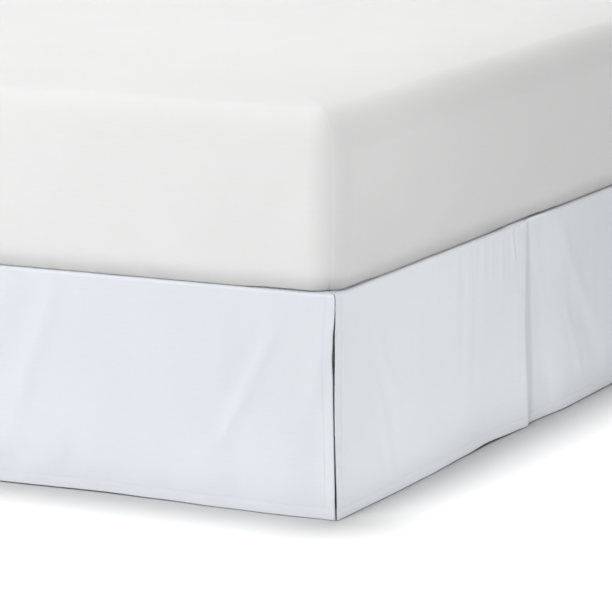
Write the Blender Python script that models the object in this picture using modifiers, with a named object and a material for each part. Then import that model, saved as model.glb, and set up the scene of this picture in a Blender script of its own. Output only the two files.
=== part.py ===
# A tailored bed skirt hung over a box base, under a mattress in its fitted cover.
# Metres, +Z up. The floor is z = 0 and the origin lies on it under the middle of
# the base. The foot end faces +X, the head end -X and the long sides -Y and +Y.
import math
from collections import namedtuple

import bmesh
import bpy
from mathutils import Vector

# Bed sizes
BED_LENGTH = 2.032
BED_WIDTH = 1.524
LEG_HEIGHT = 0.127
BASE_HEIGHT = 0.2286
BASE_EDGE_RADIUS = 0.012
BASE_TOP = LEG_HEIGHT + BASE_HEIGHT
SEAT_GAP = 0.0003              # between pieces that touch
SEAM_GAP = 0.0007              # between the deck and the edge of a drop sewn to it

# Mattress
MATTRESS_HEIGHT = 0.292
MATTRESS_OVERHANG = 0.003      # past the base's sides
MATTRESS_CROWN = 0.010         # the middle stands this far above the rim
MATTRESS_RIM = 0.055           # cage line that sets how round the edges are
MATTRESS_SHOULDER = 0.300      # from the side to where the top lies flat
MATTRESS_DRAWN_IN = 0.007      # lower edge, where the cover tucks under
MATTRESS_SWELL = 0.004         # side bulge at half height

# Legs
LEG_TOP_RADIUS = 0.030
LEG_FOOT_RADIUS = 0.022
LEG_INSET_X = 0.150
LEG_INSET_Y = 0.120
LEG_SIDES = 16

# Cloth
CLOTH = 0.0010                 # thickness of every sheet
LAYER_STEP = 0.0022            # from one folded layer to the next
FRONT_OUT = 0.0106             # the drops' front layer, outside the base's side
HEM_HEIGHT = 0.003             # hem above the floor
SEAM_INBOARD = 0.012           # deck seam, inside the base's side
ROLL_DROP = 0.020              # height over which a drop turns down
FLARE_TOP = 0.200              # below this height the hem may swing out
SIDE_HEM = 0.020               # folded-back end of a drop
PLEAT_DEPTH = 0.060            # cloth laid back behind the front panel
PLEAT_STEP_OUT = 0.050         # the covered panel comes forward over this length
CORNER_SETBACK = 0.0025        # end of a drop, from the corner of the front planes
MITRE_LENGTH = 0.070           # stretch of a drop that is mitred towards a corner

# How finely the drops are divided
ROLL_ROWS = 3
FALL_ROWS = 7
TURN_STEPS = 4
FINE_SPACING = 0.027
WIDE_SPACING = 0.062
LIFT_RAMP = 0.035

# A soft fold runs from one point of a drop to another. u is along the drop from
# its foot corner (from the near corner on the foot drop), z is the height.
Fold = namedtuple("Fold", "from_u from_z to_u to_z half_width height")
NEAR_FOLDS = [
    Fold(0.110, 0.290, 0.195, 0.105, 0.024, 0.0030),
    Fold(0.485, 0.330, 0.565, 0.135, 0.034, 0.0035),
    Fold(0.205, 0.110, 0.145, 0.030, 0.030, -0.0025),
    Fold(0.560, 0.070, 0.480, 0.015, 0.040, -0.0025),
    Fold(0.800, 0.300, 0.850, 0.060, 0.060, 0.0040),
    Fold(1.330, 0.320, 1.280, 0.080, 0.060, 0.0035),
    Fold(1.720, 0.300, 1.760, 0.050, 0.060, 0.0040),
]
FAR_FOLDS = [
    Fold(0.180, 0.310, 0.250, 0.080, 0.060, 0.0040),
    Fold(0.620, 0.300, 0.560, 0.060, 0.060, 0.0030),
    Fold(1.240, 0.310, 1.320, 0.090, 0.060, 0.0040),
    Fold(1.660, 0.290, 1.620, 0.040, 0.060, 0.0035),
]
FOOT_FOLDS = [
    Fold(0.130, 0.315, 0.235, 0.150, 0.026, 0.0030),
    Fold(0.155, 0.190, 0.210, 0.020, 0.024, 0.0025),
    Fold(0.440, 0.300, 0.420, 0.060, 0.050, 0.0020),
    Fold(0.905, 0.260, 1.040, 0.150, 0.028, 0.0030),
    Fold(0.930, 0.165, 1.000, 0.020, 0.026, 0.0025),
    Fold(1.020, 0.150, 1.060, 0.060, 0.036, -0.0030),
    Fold(1.300, 0.310, 1.340, 0.060, 0.050, 0.0030),
]

# How the hem hangs: swing outwards and rise above its usual height.
Hang = namedtuple("Hang", "u out rise")
NEAR_HANG = [
    Hang(0.000, 0.0020, 0.0000),
    Hang(0.300, 0.0000, 0.0015),
    Hang(0.600, 0.0020, 0.0005),
    Hang(1.300, 0.0040, 0.0000),
    Hang(2.100, 0.0010, 0.0010),
]
FAR_HANG = [
    Hang(0.000, 0.0020, 0.0000),
    Hang(0.700, 0.0040, 0.0010),
    Hang(1.400, 0.0010, 0.0000),
    Hang(2.100, 0.0030, 0.0010),
]
FOOT_HANG = [
    Hang(0.000, 0.0040, 0.0000),
    Hang(0.300, 0.0010, 0.0005),
    Hang(0.680, 0.0010, 0.0020),
    Hang(0.760, 0.0040, 0.0005),
    Hang(0.860, 0.0075, 0.0000),
    Hang(1.200, 0.0060, 0.0000),
    Hang(1.550, 0.0030, 0.0000),
]

# How far the slit at a foot corner stands open, on each side of it.
Slit = namedtuple("Slit", "z open")
CORNER_SLIT = [
    Slit(0.360, 0.0000),
    Slit(0.310, 0.0002),
    Slit(0.265, 0.0013),
    Slit(0.220, 0.0006),
    Slit(0.100, 0.0006),
    Slit(0.050, 0.0012),
    Slit(0.000, 0.0014),
]

# Where a drop lies: a corner of the front planes, the way along it and outwards.
Place = namedtuple("Place", "start along outward")
FOOT_X = BED_LENGTH / 2 + FRONT_OUT
SIDE_Y = BED_WIDTH / 2 + FRONT_OUT
SIDE_DROP_LENGTH = BED_LENGTH + FRONT_OUT
FOOT_DROP_LENGTH = BED_WIDTH + 2 * FRONT_OUT

COLLECTION_NAME = "bed_skirt"


def clear_scene():
    for thing in list(bpy.data.objects):
        bpy.data.objects.remove(thing, do_unlink=True)
    collection = bpy.data.collections.new(COLLECTION_NAME)
    bpy.context.scene.collection.children.link(collection)
    return collection


def make_material(name, colour, roughness):
    material = bpy.data.materials.new(name)
    material.use_nodes = True
    shader = material.node_tree.nodes["Principled BSDF"]
    shader.inputs["Base Color"].default_value = (*colour, 1.0)
    shader.inputs["Roughness"].default_value = roughness
    shader.inputs["Metallic"].default_value = 0.0
    return material


def make_object(name, mesh, material, collection):
    thing = bpy.data.objects.new(name, mesh)
    mesh.materials.append(material)
    collection.objects.link(thing)
    return thing


def smooth_step(value):
    clamped = min(max(value, 0.0), 1.0)
    return clamped * clamped * (3.0 - 2.0 * clamped)


def read_table(rows, position, column):
    """Smoothly interpolated column of a table whose first column is the position."""
    ordered = sorted(rows, key=lambda row: row[0])
    for low, high in zip(ordered, ordered[1:]):
        if position <= high[0]:
            share = smooth_step((position - low[0]) / (high[0] - low[0]))
            return getattr(low, column) * (1.0 - share) + getattr(high, column) * share
    return getattr(ordered[-1], column)


def fold_relief(folds, u, z):
    """How far the folds push the cloth outwards at a point of the drop."""
    relief = 0.0
    for fold in folds:
        run_u = fold.to_u - fold.from_u
        run_z = fold.to_z - fold.from_z
        length = math.hypot(run_u, run_z)
        along = ((u - fold.from_u) * run_u + (z - fold.from_z) * run_z) / length
        across = ((u - fold.from_u) * run_z - (z - fold.from_z) * run_u) / length
        ease = 0.35 * length
        ends = smooth_step(along / ease + 0.5) * smooth_step((length - along) / ease + 0.5)
        relief += fold.height * ends * math.exp(-(across / fold.half_width) ** 2)
    return relief


def evenly(start, stop, spacing):
    """Positions from start up to stop, without stop."""
    count = max(1, round(abs(stop - start) / spacing))
    return [start + (stop - start) * index / count for index in range(count)]


def turn(u, layer, bulge):
    """A half-round turn at u to the next layer in (layer + 1); bulge is +1 or -1 along u."""
    radius = LAYER_STEP / 2
    angles = [math.pi * index / TURN_STEPS for index in range(TURN_STEPS + 1)]
    return [(u + bulge * radius * math.sin(a), layer + 0.5 - 0.5 * math.cos(a)) for a in angles]


def covered_layer(u, middle):
    """Layer of the covered panel as it comes forward beyond the pleat."""
    return 2.0 * (1.0 - smooth_step((u - middle) / PLEAT_STEP_OUT))


def drop_stations(length, middle, fine_until):
    """The drop's section seen from above: (u, layer) from its first end to its last.

    Layer 0 is the front. The panel before the middle ends in a fold there, runs back
    behind itself, and the panel beyond comes forward from under it.
    """
    radius = LAYER_STEP / 2
    front_start = radius
    edge = middle - radius
    inner = middle - PLEAT_DEPTH
    front_end = length - radius

    def spaced(start, stop):
        split = min(max(fine_until, start), stop)
        positions = evenly(start, split, FINE_SPACING) if split - start > 0.01 else []
        if stop - split > 0.01:
            positions += evenly(split, stop, WIDE_SPACING)
        return positions

    stations = [(SIDE_HEM, 1.0)]
    stations += [(u, layer) for u, layer in reversed(turn(front_start, 0, -1))]
    stations += [(u, 0.0) for u in spaced(SIDE_HEM, inner)]
    stations += [(inner, 0.0), ((inner + edge) / 2, 0.0)]
    stations += turn(edge, 0, 1)
    stations += [((inner + edge) / 2, 1.0)]
    stations += turn(inner, 1, -1)
    stations += [((inner + edge) / 2, 2.0)]
    for u in evenly(middle, middle + PLEAT_STEP_OUT, PLEAT_STEP_OUT / 4):
        stations.append((u, covered_layer(u, middle)))
    stations += [(u, 0.0) for u in spaced(middle + PLEAT_STEP_OUT, length - SIDE_HEM)]
    stations.append((length - SIDE_HEM, 0.0))
    stations += turn(front_end, 0, 1)
    stations.append((length - SIDE_HEM, 1.0))
    return stations


def layers_behind(u, length, middle):
    """How many layers lie behind the front at u, eased out on both sides."""
    start = 1.0 - smooth_step((u - SIDE_HEM - 0.004) / LIFT_RAMP)
    end = 1.0 - smooth_step((length - SIDE_HEM - 0.004 - u) / LIFT_RAMP)
    before = smooth_step((u - middle + PLEAT_DEPTH + 0.006 + LIFT_RAMP) / LIFT_RAMP)
    pleat = min(2.0 * before, covered_layer(u, middle))
    return start + end + pleat


def drop_rows():
    """Rows of a drop from seam to hem: (outward, height, angle of the outward normal)."""
    seam_out = SEAM_GAP - SEAM_INBOARD
    seam_height = BASE_TOP + SEAT_GAP + CLOTH / 2
    rows = []
    for index in range(ROLL_ROWS + 1):
        angle = math.pi / 2 * index / ROLL_ROWS
        out = seam_out + (FRONT_OUT - seam_out) * math.sin(angle)
        height = seam_height - ROLL_DROP * (1.0 - math.cos(angle))
        rows.append((out, height, angle))
    fall_top = rows[-1][1]
    for index in range(1, FALL_ROWS + 1):
        height = fall_top + (HEM_HEIGHT - fall_top) * index / FALL_ROWS
        rows.append((FRONT_OUT, height, math.pi / 2))
    return rows


def drop_point(u, layer, row, drop):
    """(along, outward, height) of one point of a drop's middle surface."""
    out, height, angle = row
    swing = smooth_step((FLARE_TOP - height) / FLARE_TOP)
    falling = smooth_step((BASE_TOP - height) / ROLL_DROP)
    lift = layers_behind(u, drop.length, drop.middle) * math.cos(angle)
    offset = LAYER_STEP * (lift - layer)
    roll_out = out + offset * math.sin(angle)
    relief = fold_relief(drop.folds, u, height) * falling
    relief += read_table(drop.hang, u, "out") * swing
    rise = read_table(drop.hang, u, "rise") * swing
    along = u
    inboard = FRONT_OUT - out
    setback = CORNER_SETBACK + read_table(CORNER_SLIT, height, "open")
    for towards, distance, reach in drop.corners(u):
        share = 1.0 - smooth_step(distance / MITRE_LENGTH)
        along += towards * share * (inboard + setback - reach * swing)
    return along, roll_out + relief, height + offset * math.cos(angle) + rise


class Drop:
    """Sizes, place and unevenness of one drop.

    corner_reaches holds, for its first and last end, how far the end swings past the
    corner at the hem, or None where the end meets no corner.
    """

    def __init__(self, length, middle, place, folds, hang, corner_reaches, fine_until):
        self.length = length
        self.middle = middle
        self.place = place
        self.folds = folds
        self.hang = hang
        self.corner_reaches = corner_reaches
        self.fine_until = fine_until

    def corners(self, u):
        first, last = self.corner_reaches
        found = []
        if first is not None:
            found.append((1.0, u, first))
        if last is not None:
            found.append((-1.0, self.length - u, last))
        return found


def make_drop(name, drop, material, collection):
    stations = drop_stations(drop.length, drop.middle, drop.fine_until)
    rows = drop_rows()
    cage = bmesh.new()
    grid = []
    for u, layer in stations:
        column = []
        for row in rows:
            along, outward, height = drop_point(u, layer, row, drop)
            point = drop.place.start + along * drop.place.along + outward * drop.place.outward
            column.append(cage.verts.new((point.x, point.y, height)))
        grid.append(column)
    for left, right in zip(grid, grid[1:]):
        for index in range(len(rows) - 1):
            cage.faces.new((left[index], left[index + 1], right[index + 1], right[index]))
    mesh = bpy.data.meshes.new(name)
    cage.to_mesh(mesh)
    cage.free()
    mesh.shade_smooth()
    thing = make_object(name, mesh, material, collection)
    solidify = thing.modifiers.new("cloth", "SOLIDIFY")
    solidify.thickness = CLOTH
    solidify.offset = 0.0
    solidify.use_even_offset = True
    return thing


def make_box(name, size, centre, material, collection, edge_radius=0.0, segments=3):
    """A box from the cube primitive, its scale applied, with rounded edges."""
    bpy.ops.mesh.primitive_cube_add(size=1.0, location=centre)
    thing = bpy.context.object
    thing.name = name
    thing.scale = size
    bpy.ops.object.transform_apply(location=False, rotation=False, scale=True)
    thing.data.materials.append(material)
    for owner in list(thing.users_collection):
        owner.objects.unlink(thing)
    collection.objects.link(thing)
    if edge_radius:
        bevel = thing.modifiers.new("rounded_edges", "BEVEL")
        bevel.width = edge_radius
        bevel.segments = segments
    return thing


def make_deck(material, collection):
    size = (BED_LENGTH - 2 * SEAM_INBOARD, BED_WIDTH - 2 * SEAM_INBOARD, CLOTH)
    centre = (0.0, 0.0, BASE_TOP + SEAT_GAP + CLOTH / 2)
    make_box("deck", size, centre, material, collection)


def make_base(material, collection):
    size = (BED_LENGTH, BED_WIDTH, BASE_HEIGHT)
    centre = (0.0, 0.0, LEG_HEIGHT + BASE_HEIGHT / 2)
    make_box("box_base", size, centre, material, collection, BASE_EDGE_RADIUS)


def make_legs(material, collection):
    """Three rows of three turned legs, each wider where it meets the base."""
    reach_x = BED_LENGTH / 2 - LEG_INSET_X
    reach_y = BED_WIDTH / 2 - LEG_INSET_Y
    height = LEG_HEIGHT - SEAT_GAP
    for place_x, x in (("head", -reach_x), ("middle", 0.0), ("foot", reach_x)):
        for place_y, y in (("near", -reach_y), ("centre", 0.0), ("far", reach_y)):
            bpy.ops.mesh.primitive_cone_add(
                vertices=LEG_SIDES, radius1=LEG_FOOT_RADIUS, radius2=LEG_TOP_RADIUS,
                depth=height, location=(x, y, height / 2))
            leg = bpy.context.object
            leg.name = "leg_" + place_x + "_" + place_y
            leg.data.materials.append(material)
            leg.data.shade_smooth()
            leg.data.set_sharp_from_angle(angle=math.radians(40))
            for owner in list(leg.users_collection):
                owner.objects.unlink(leg)
            collection.objects.link(leg)


def shape_mattress(cage, half_length, half_width, bottom, top):
    """Crowns the top, draws the lower edge in and lets the sides swell a little."""
    middle = (bottom + top) / 2
    for vertex in cage.verts:
        x, y, z = vertex.co
        side_x = abs(x) > half_length - 0.001
        side_y = abs(y) > half_width - 0.001
        from_side = min(half_length - abs(x), half_width - abs(y))
        if z > top - 0.001:
            fall = 1.0 - min(from_side / MATTRESS_SHOULDER, 1.0)
            vertex.co.z = top - MATTRESS_CROWN * fall ** 2
        shift = 0.0
        if z < bottom + 0.001:
            shift = -MATTRESS_DRAWN_IN
        elif abs(z - middle) < 0.08:
            shift = MATTRESS_SWELL
        if side_x:
            vertex.co.x += math.copysign(shift, x)
        if side_y:
            vertex.co.y += math.copysign(shift, y)


def make_mattress(material, collection):
    """A coarse cage cut from a cube, smoothed once by subdivision."""
    half_length = BED_LENGTH / 2 + MATTRESS_OVERHANG
    half_width = BED_WIDTH / 2 + MATTRESS_OVERHANG
    bottom = BASE_TOP + CLOTH + 2 * SEAT_GAP
    top = bottom + MATTRESS_HEIGHT
    centre = (0.0, 0.0, (bottom + top) / 2)
    size = (2 * half_length, 2 * half_width, MATTRESS_HEIGHT)
    thing = make_box("mattress", size, centre, material, collection)
    bpy.ops.object.transform_apply(location=True, rotation=False, scale=False)
    cage = bmesh.new()
    cage.from_mesh(thing.data)
    x_cuts = [half_length - MATTRESS_RIM, half_length - MATTRESS_SHOULDER, 0.0]
    y_cuts = [half_width - MATTRESS_RIM, half_width - MATTRESS_SHOULDER, 0.0]
    cuts = [(Vector((sign * x, 0, 0)), Vector((1, 0, 0))) for x in x_cuts for sign in (1, -1)]
    cuts += [(Vector((0, sign * y, 0)), Vector((0, 1, 0))) for y in y_cuts for sign in (1, -1)]
    heights = [bottom + MATTRESS_RIM, (bottom + top) / 2, top - MATTRESS_RIM]
    cuts += [(Vector((0, 0, z)), Vector((0, 0, 1))) for z in heights]
    for point, normal in cuts:
        everything = cage.verts[:] + cage.edges[:] + cage.faces[:]
        bmesh.ops.bisect_plane(cage, geom=everything, dist=0.00001, plane_co=point, plane_no=normal)
    shape_mattress(cage, half_length, half_width, bottom, top)
    cage.to_mesh(thing.data)
    cage.free()
    thing.data.shade_smooth()
    subdivision = thing.modifiers.new("soft_form", "SUBSURF")
    subdivision.levels = 1
    subdivision.render_levels = 1


def make_drops(material, collection):
    towards_head = Vector((-1.0, 0.0, 0.0))
    side_middle = FOOT_X
    near = Drop(
        SIDE_DROP_LENGTH, side_middle,
        Place(Vector((FOOT_X, -BED_WIDTH / 2, 0)), towards_head, Vector((0, -1, 0))),
        NEAR_FOLDS, NEAR_HANG, (0.004, None), 0.620)
    far = Drop(
        SIDE_DROP_LENGTH, side_middle,
        Place(Vector((FOOT_X, BED_WIDTH / 2, 0)), towards_head, Vector((0, 1, 0))),
        FAR_FOLDS, FAR_HANG, (0.003, None), 0.0)
    foot = Drop(
        FOOT_DROP_LENGTH, FOOT_DROP_LENGTH / 2,
        Place(Vector((BED_LENGTH / 2, -SIDE_Y, 0)), Vector((0, 1, 0)), Vector((1, 0, 0))),
        FOOT_FOLDS, FOOT_HANG, (0.002, 0.002), FOOT_DROP_LENGTH)
    make_drop("drop_side_near", near, material, collection)
    make_drop("drop_side_far", far, material, collection)
    make_drop("drop_foot", foot, material, collection)


def main():
    collection = clear_scene()
    skirt_cloth = make_material("skirt_cloth", (0.80, 0.84, 0.90), 0.85)
    deck_cloth = make_material("deck_cloth", (0.84, 0.86, 0.88), 0.90)
    mattress_cover = make_material("mattress_cover", (0.86, 0.86, 0.86), 0.85)
    base_cover = make_material("base_cover", (0.62, 0.62, 0.61), 0.90)
    leg_wood = make_material("leg_wood", (0.50, 0.35, 0.21), 0.55)
    make_base(base_cover, collection)
    make_legs(leg_wood, collection)
    make_deck(deck_cloth, collection)
    make_drops(skirt_cloth, collection)
    make_mattress(mattress_cover, collection)


main()
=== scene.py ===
# Tailored bed skirt, hung over a box base and under a mattress in its fitted cover.
# Metres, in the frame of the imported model: the floor is z = 0, the foot end faces +X and
# the near long side -Y. The camera looks at the near corner of the foot end.
import math
import random
from collections import namedtuple

import bpy
import numpy as np
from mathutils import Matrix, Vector, noise


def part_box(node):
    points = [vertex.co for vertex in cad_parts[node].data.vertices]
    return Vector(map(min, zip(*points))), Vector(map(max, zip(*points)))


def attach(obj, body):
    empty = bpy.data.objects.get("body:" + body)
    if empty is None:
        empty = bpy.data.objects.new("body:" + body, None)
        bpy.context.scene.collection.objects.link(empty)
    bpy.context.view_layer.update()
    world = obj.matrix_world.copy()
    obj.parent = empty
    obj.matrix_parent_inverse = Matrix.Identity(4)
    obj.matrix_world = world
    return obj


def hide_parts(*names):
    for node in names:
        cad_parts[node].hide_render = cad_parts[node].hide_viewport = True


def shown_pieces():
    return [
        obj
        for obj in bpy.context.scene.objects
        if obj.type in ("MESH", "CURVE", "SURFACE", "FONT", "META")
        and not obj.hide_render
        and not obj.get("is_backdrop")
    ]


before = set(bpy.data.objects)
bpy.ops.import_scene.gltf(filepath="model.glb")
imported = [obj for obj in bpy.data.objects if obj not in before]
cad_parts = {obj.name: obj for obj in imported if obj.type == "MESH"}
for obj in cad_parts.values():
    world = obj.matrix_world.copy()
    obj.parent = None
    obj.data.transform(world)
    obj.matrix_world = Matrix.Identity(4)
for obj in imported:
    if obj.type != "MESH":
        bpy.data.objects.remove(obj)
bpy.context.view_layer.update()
baseLow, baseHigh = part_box("box_base")
mattressLow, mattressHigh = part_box("mattress")
bedLength = baseHigh.x - baseLow.x
bedWidth = baseHigh.y - baseLow.y
baseTop = baseHigh.z
print("frame loaded, bed %.3f by %.3f m" % (bedLength, bedWidth))


def smooth(value):
    clamped = np.clip(value, 0.0, 1.0)
    return clamped * clamped * (3.0 - 2.0 * clamped)


def fromTable(rows, column, position):
    # rows are sorted by "at", and the value eases from one row to the next
    places = np.array([row.at for row in rows])
    values = np.array([getattr(row, column) for row in rows])
    upper = np.clip(np.searchsorted(places, position), 1, len(places) - 1)
    share = smooth((position - places[upper - 1]) / (places[upper] - places[upper - 1]))
    return values[upper - 1] * (1.0 - share) + values[upper] * share


def cloudy(points, cells, seed):
    # soft noise of about -1 to 1 at each point, a wave about every cell along each axis
    shift = Vector((seed * 7.31, seed * 3.17, seed * 5.77))
    scaled = np.asarray(points) / np.asarray(cells)
    return np.array([noise.noise(Vector(place) + shift) * 1.6 for place in scaled.tolist()])


def evenly(start, stop, spacing):
    # places from start up to stop, without stop
    count = max(1, round(abs(stop - start) / spacing))
    return [start + (stop - start) * index / count for index in range(count)]


def graded(start, stop, stretches):
    # places from start up to stop, with another spacing for each stretch
    places = []
    for until, spacing in stretches:
        end = min(until, stop)
        if end - start > 0.3 * spacing:
            places += evenly(start, end, spacing)
            start = end
    return places


def makePiece(name, mesh, material):
    piece = bpy.data.objects.new(name, mesh)
    bpy.context.scene.collection.objects.link(piece)
    mesh.materials.clear()
    mesh.materials.append(material)
    mesh.shade_smooth()
    return piece


def bakeModifiers(piece):
    # the evaluated mesh takes the place of the mesh and its modifiers
    graph = bpy.context.evaluated_depsgraph_get()
    mesh = bpy.data.meshes.new_from_object(piece.evaluated_get(graph), depsgraph=graph)
    piece.modifiers.clear()
    piece.data = mesh
    mesh.shade_smooth()


class Wire:
    # a number on its way through a shader; sums on wires add Math nodes
    def __init__(self, shader, socket):
        self.shader = shader
        self.socket = socket

    def sum(self, operation, first, second=None):
        given = [value for value in (first, second) if value is not None]
        return self.shader.node("ShaderNodeMath", {"operation": operation}, dict(enumerate(given)))

    def __add__(self, other):
        return self.sum("ADD", self, other)

    def __radd__(self, other):
        return self.sum("ADD", other, self)

    def __sub__(self, other):
        return self.sum("SUBTRACT", self, other)

    def __rsub__(self, other):
        return self.sum("SUBTRACT", other, self)

    def __mul__(self, other):
        return self.sum("MULTIPLY", self, other)

    def __rmul__(self, other):
        return self.sum("MULTIPLY", other, self)

    def __pow__(self, power):
        return self.sum("POWER", self, power)

    def __abs__(self):
        return self.sum("ABSOLUTE", self)

    def sine(self):
        return self.sum("SINE", self)

    def above(self, edge):
        return self.sum("GREATER_THAN", self, edge)

    def ease(self, low, high):
        # 0 below low, 1 above high and soft between them
        settings = {"interpolation_type": "SMOOTHSTEP"}
        return self.shader.node("ShaderNodeMapRange", settings, {0: self, 1: low, 2: high})


class Shader:
    # a material with a Principled shader, and one way of adding nodes to it
    def __init__(self, name, colour, roughness):
        self.material = bpy.data.materials.new(name)
        self.material.use_nodes = True
        self.tree = self.material.node_tree
        self.surface = self.tree.nodes["Principled BSDF"]
        self.surface.inputs["Base Color"].default_value = (*colour, 1.0)
        self.surface.inputs["Roughness"].default_value = roughness
        self.colour = colour

    def node(self, kind, settings=None, inputs=None, output=0):
        made = self.tree.nodes.new(kind)
        for key, value in (settings or {}).items():
            setattr(made, key, value)
        for key, value in (inputs or {}).items():
            self.feed(made.inputs[key], value)
        return Wire(self, made.outputs[output])

    def feed(self, socket, value):
        if isinstance(value, Wire):
            self.tree.links.new(value.socket, socket)
        else:
            socket.default_value = value

    def place(self, scale=(1, 1, 1), onCloth=True):
        # places on the cloth are metres along it, others are metres in the bed's frame
        if onCloth:
            source = self.node("ShaderNodeUVMap", {"uv_map": "cloth"})
        else:
            source = self.node("ShaderNodeTexCoord", output="Object")
        return self.node("ShaderNodeMapping", None, {"Vector": source, "Scale": scale})

    def axes(self, place):
        split = self.tree.nodes.new("ShaderNodeSeparateXYZ")
        self.feed(split.inputs[0], place)
        return [Wire(self, split.outputs[axis]) for axis in range(3)]

    def noise(self, place, detail=2.0):
        inputs = {"Vector": place, "Scale": 1.0, "Detail": detail}
        return self.node("ShaderNodeTexNoise", None, inputs, output="Fac")

    def tint(self, share, other):
        # mixes the colour so far with another one
        mix = self.tree.nodes.new("ShaderNodeMix")
        mix.data_type = "RGBA"
        target = self.surface.inputs["Base Color"]
        if target.links:
            self.tree.links.new(target.links[0].from_socket, mix.inputs[6])
        else:
            mix.inputs[6].default_value = (*self.colour, 1.0)
        mix.inputs[7].default_value = (*other, 1.0)
        self.feed(mix.inputs[0], share)
        self.tree.links.new(mix.outputs[2], target)

    def bump(self, height, distance, strength):
        # a later bump lies on top of the earlier ones
        bump = self.tree.nodes.new("ShaderNodeBump")
        bump.inputs["Distance"].default_value = distance
        bump.inputs["Strength"].default_value = strength
        self.feed(bump.inputs["Height"], height)
        target = self.surface.inputs["Normal"]
        if target.links:
            self.tree.links.new(target.links[0].from_socket, bump.inputs["Normal"])
        self.tree.links.new(bump.outputs["Normal"], target)


def plainWeave(across, along, pitch):
    # threads that pass over and under one another; the height of the one on top
    warp = (across * (math.pi / pitch)).sine()
    weft = (along * (math.pi / pitch)).sine()
    over = (warp * weft).above(0.0)
    return abs(warp) * over + abs(weft) * (1.0 - over)


# Patterns that every cloth here has, in waves to the metre across and along it.
clothPattern = {
    "slubs": (25, 600, 1),
    "slubsUp": (600, 25, 1),
    "clouds": (6, 6, 1),
    "fuzz": (1400, 1400, 1),
    "sheenRoughness": 0.5,
    "specular": 0.25,
}


def clothShader(name, look):
    shader = Shader(name, look["colour"], look["roughness"])
    shader.surface.inputs["Sheen Weight"].default_value = look["sheen"]
    shader.surface.inputs["Sheen Roughness"].default_value = clothPattern["sheenRoughness"]
    shader.surface.inputs["Specular IOR Level"].default_value = clothPattern["specular"]
    across, along, _ = shader.axes(shader.place())
    slubs = shader.noise(shader.place(clothPattern["slubs"]), 3.0)
    slubsUp = shader.noise(shader.place(clothPattern["slubsUp"]), 3.0)
    clouds = shader.noise(shader.place(clothPattern["clouds"]), 2.0)
    fuzz = shader.noise(shader.place(clothPattern["fuzz"]), 2.0)
    darker = tuple(channel * look["unevenness"] for channel in look["colour"])
    shader.tint((slubs * 0.5 + slubsUp * 0.2 + clouds * 0.3).ease(0.35, 0.65), darker)
    shader.bump(plainWeave(across, along, look["thread"]), look["threadDepth"], 0.5)
    shader.bump(slubs + slubsUp, look["slubDepth"], 0.6)
    shader.bump(fuzz, look["fuzzDepth"], 0.4)
    return shader


cameraFit = {
    "place": (3.896, -6.864, 1.628),
    "turn": 25.61,      # degrees round Z
    "down": 10.84,      # degrees below the horizon
    "lens": 261.9,      # mm on a 36 mm sensor
}


def makeCamera():
    data = bpy.data.cameras.new("camera")
    data.lens = cameraFit["lens"]
    data.sensor_width = 36.0
    data.clip_end = 200.0
    camera = bpy.data.objects.new("camera", data)
    bpy.context.scene.collection.objects.link(camera)
    camera.location = cameraFit["place"]
    camera.rotation_euler = (math.radians(90 - cameraFit["down"]), 0, math.radians(cameraFit["turn"]))
    bpy.context.scene.camera = camera


makeCamera()
print("camera placed")

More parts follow.
